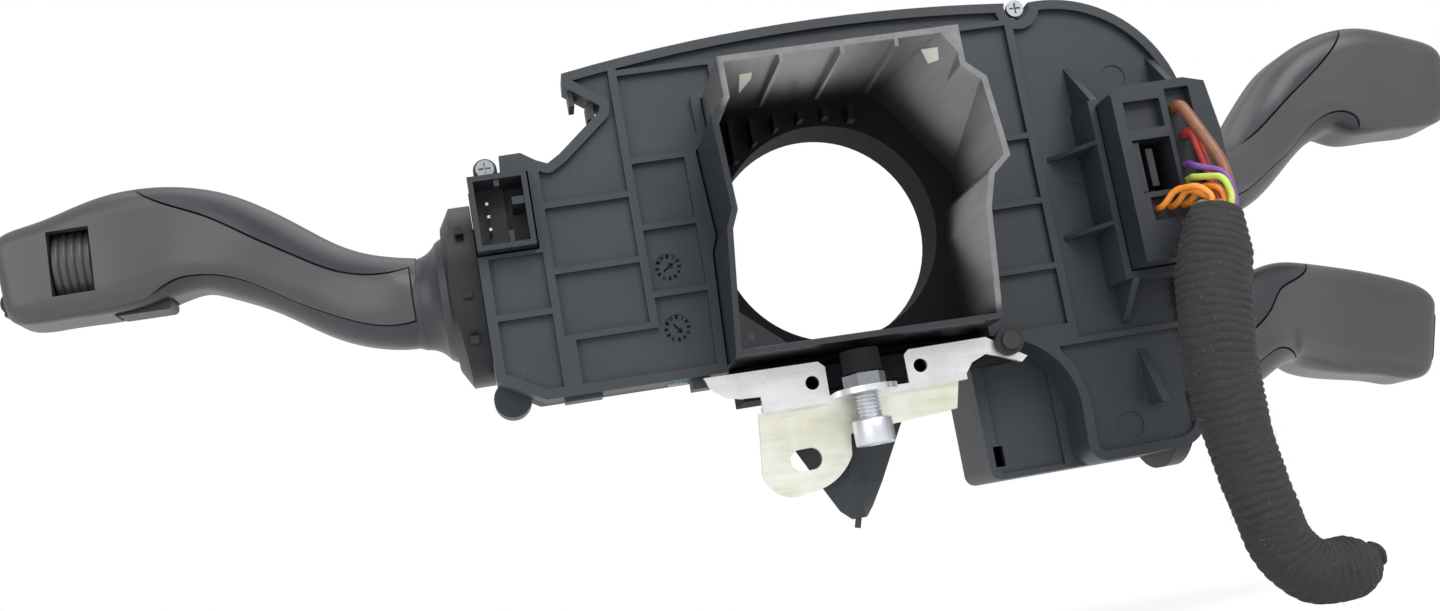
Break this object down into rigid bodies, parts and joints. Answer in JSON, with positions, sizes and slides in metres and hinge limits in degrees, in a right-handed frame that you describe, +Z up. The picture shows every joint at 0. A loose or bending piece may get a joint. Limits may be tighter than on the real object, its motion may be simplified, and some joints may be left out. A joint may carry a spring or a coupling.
{
  "type": "combination stalk switch",
  "caption": "Steering column combination switch: flat ribbed housing round a column bore, with wiper, turn and cruise stalks, a rear shroud, clamp hardware and a taped harness.",
  "frame": {"origin": "centre of the steering column bore, halfway along its wall", "axes": "+Y along the column towards the driver, +X to the right seen from the dash side, +Z up"},
  "size_m": [0.4366, 0.1099, 0.1759],
  "materials": {
    "housing_black": "fine spark-eroded texture",
    "shroud_black": "fine texture",
    "stalk_grey": "soft satin",
    "inlay_black": "satin",
    "control_black": "satin",
    "acetal_white": "satin",
    "pad_cream": "felt pad",
    "board_green": "solder mask",
    "zinc_bright": "bright zinc plate",
    "zinc_yellow": "yellow passivated zinc",
    "bolt_steel": "zinc flake",
    "spring_steel": "drawn wire",
    "contact_brass": "tinned",
    "bush_rubber": "moulded",
    "plug_black": "moulded",
    "tape_black": "cloth tape",
    "wire_brown": "insulation",
    "wire_red": "insulation",
    "wire_violet": "insulation",
    "wire_green": "insulation",
    "wire_orange": "insulation",
    "wire_cream": "insulation"
  },
  "bodies": {
    "housing": {"rear_cover": "housing_black", "column_shroud": "shroud_black", "shroud_pads": "pad_cream", "front_housing": "housing_black", "main_board": "board_green", "wiper_connector_shell": "plug_black", "wiper_connector_pins": "contact_brass", "cover_screws": "bolt_steel", "clamp_bracket": "zinc_bright", "ground_bracket": "zinc_yellow", "clamp_bolt": "bolt_steel", "clamp_nut": "bolt_steel", "bracket_grommet": "bush_rubber", "bracket_screw": "zinc_yellow", "locating_spike": "housing_black", "harness_clip": "housing_black", "plug_housing": "plug_black", "plug_latch": "plug_black", "wires_brown": "wire_brown", "wires_red": "wire_red", "wires_violet": "wire_violet", "wires_green": "wire_green", "wires_orange": "wire_orange", "wires_cream": "wire_cream", "harness_sleeve": "tape_black", "harness_end_wrap": "tape_black", "wiper_switch_housing": "housing_black", "wiper_flange": "housing_black", "turn_switch_housing": "housing_black", "turn_flange": "housing_black", "cruise_switch_housing": "housing_black", "cruise_flange": "housing_black"},
    "steering_ring": {"steering_angle_ring": "acetal_white", "angle_code_ring": "bolt_steel", "cancel_cam_ring": "acetal_white"},
    "wiper_cross": {"wiper_gimbal": "acetal_white"},
    "wiper_stalk": {"wiper_lever": "stalk_grey", "wiper_rear_inlay": "inlay_black", "wiper_detent_plunger": "acetal_white", "wiper_detent_spring": "spring_steel"},
    "turn_cross": {"turn_gimbal": "acetal_white"},
    "turn_stalk": {"turn_lever": "stalk_grey", "turn_rear_inlay": "inlay_black", "turn_detent_plunger": "acetal_white", "turn_detent_spring": "spring_steel"},
    "cruise_cross": {"cruise_gimbal": "acetal_white"},
    "cruise_stalk": {"cruise_lever": "stalk_grey", "cruise_rear_inlay": "inlay_black", "cruise_detent_plunger": "acetal_white", "cruise_detent_spring": "spring_steel"},
    "wiper_wheel": {"wiper_thumbwheel": "control_black"},
    "wiper_rocker": {"wiper_end_rocker": "control_black"},
    "wiper_reset": {"wiper_reset_button": "control_black"},
    "cruise_button": {"cruise_set_button": "control_black"}
  },
  "joints": [
    {"name": "steering_turn", "type": "hinge", "parent": "housing", "child": "steering_ring", "pos_m": [0, 0, 0], "axis": [0, 1, 0], "continuous": true},
    {"name": "wiper_up_down", "type": "hinge", "parent": "housing", "child": "wiper_cross", "pos_m": [-0.095, 0.006, -0.0006], "axis": [0, 1, 0], "range_deg": [-4, 9]},
    {"name": "wiper_pull", "type": "hinge", "parent": "wiper_cross", "child": "wiper_stalk", "pos_m": [-0.095, 0.006, -0.0006], "axis": [0, 0, -1], "range_deg": [-3, 5], "stiffness_Nm_per_rad": 2},
    {"name": "turn_up_down", "type": "hinge", "parent": "housing", "child": "turn_cross", "pos_m": [0.083, 0.006, 0.0003], "axis": [0, -1, 0], "range_deg": [-7, 7]},
    {"name": "turn_pull", "type": "hinge", "parent": "turn_cross", "child": "turn_stalk", "pos_m": [0.083, 0.006, 0.0003], "axis": [0, 0, 1], "range_deg": [-4, 4], "stiffness_Nm_per_rad": 2},
    {"name": "cruise_up_down", "type": "hinge", "parent": "housing", "child": "cruise_cross", "pos_m": [0.083, 0.006, -0.0533], "axis": [0, -1, 0], "range_deg": [-5, 5], "stiffness_Nm_per_rad": 6},
    {"name": "cruise_pull", "type": "hinge", "parent": "cruise_cross", "child": "cruise_stalk", "pos_m": [0.083, 0.006, -0.0533], "axis": [0, 0, 1], "range_deg": [-4, 5], "stiffness_Nm_per_rad": 2},
    {"name": "wiper_wheel_turn", "type": "hinge", "parent": "wiper_stalk", "child": "wiper_wheel", "pos_m": [-0.2037, 0.031, 0.0285], "axis": [1, 0, 0], "range_deg": [-20, 20]},
    {"name": "wiper_rocker_tilt", "type": "hinge", "parent": "wiper_stalk", "child": "wiper_rocker", "pos_m": [-0.2205, 0.032, 0.0267], "axis": [0, 1, 0], "range_deg": [-4, 4], "stiffness_Nm_per_rad": 0.05},
    {"name": "wiper_reset_press", "type": "slide", "parent": "wiper_stalk", "child": "wiper_reset", "axis": [0, 0, 1], "range_m": [0, 0.001], "stiffness_N_per_m": 600},
    {"name": "cruise_set_press", "type": "slide", "parent": "cruise_stalk", "child": "cruise_button", "axis": [-0.9511, 0, 0.309], "range_m": [0, 0.001], "stiffness_N_per_m": 600}
  ]
}
